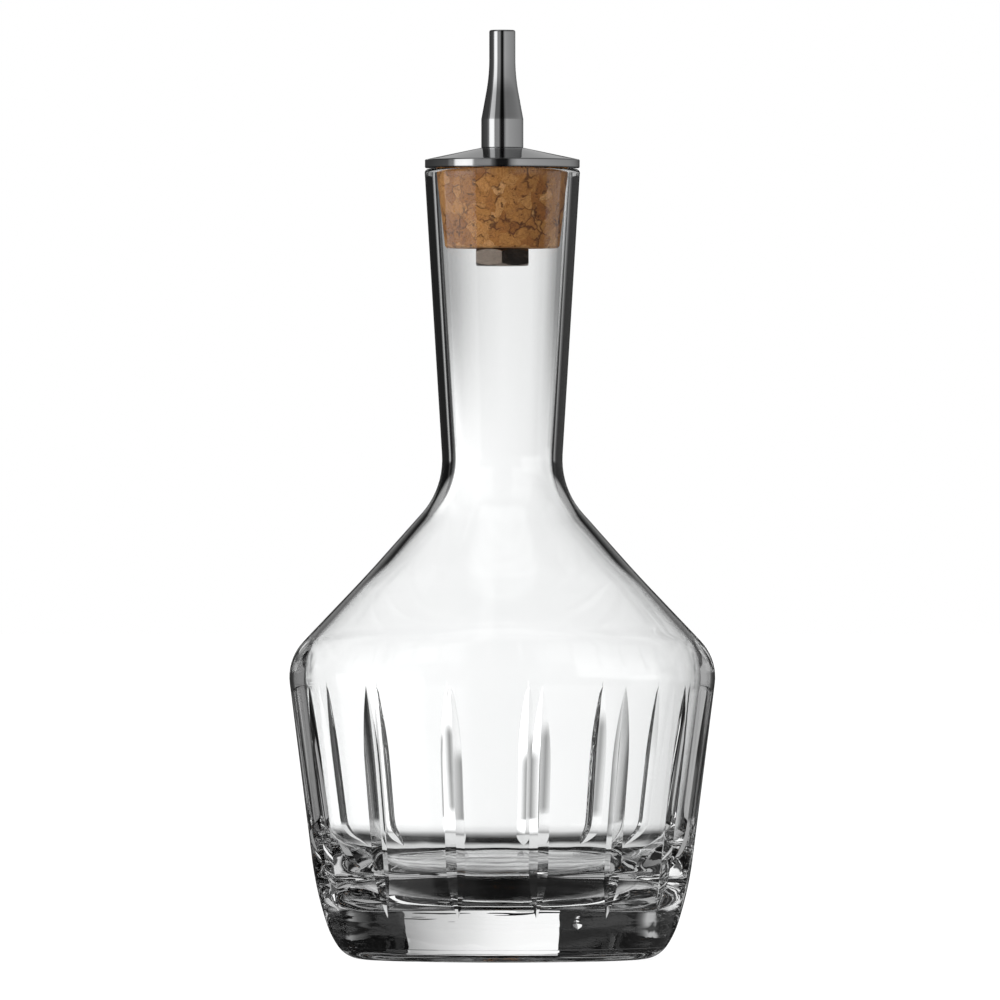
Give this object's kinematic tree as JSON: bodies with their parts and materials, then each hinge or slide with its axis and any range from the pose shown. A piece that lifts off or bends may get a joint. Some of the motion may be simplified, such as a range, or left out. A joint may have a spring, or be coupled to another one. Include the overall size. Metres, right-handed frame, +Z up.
{
  "type": "bitters bottle",
  "caption": "Small cut-glass decanter with a flared neck, a cork stopper, a domed metal cap and a tapered dasher spout that doles out dashes.",
  "frame": {"origin": "centre of the base, on the face that the bottle stands on", "axes": "+Z up along the bottle's axis to the spout; the pictured front faces -Y"},
  "size_m": [0.0654, 0.0654, 0.1426],
  "materials": {
    "clear_glass": "clear, polished, with bright V cuts",
    "cork": "agglomerated cork granules, matt",
    "polished_metal": "mirror polished",
    "plain_steel": "plain steel, slightly dull"
  },
  "bodies": {
    "glass": {"bottle": "clear_glass"},
    "stopper": {"cork": "cork", "cap_disc": "polished_metal", "spout": "polished_metal", "stem": "plain_steel", "clamp_nut": "plain_steel"}
  },
  "joints": [
    {"name": "stopper_lift", "type": "slide", "parent": "glass", "child": "stopper", "axis": [0, 0, 1], "range_m": [0, 0.03]}
  ]
}
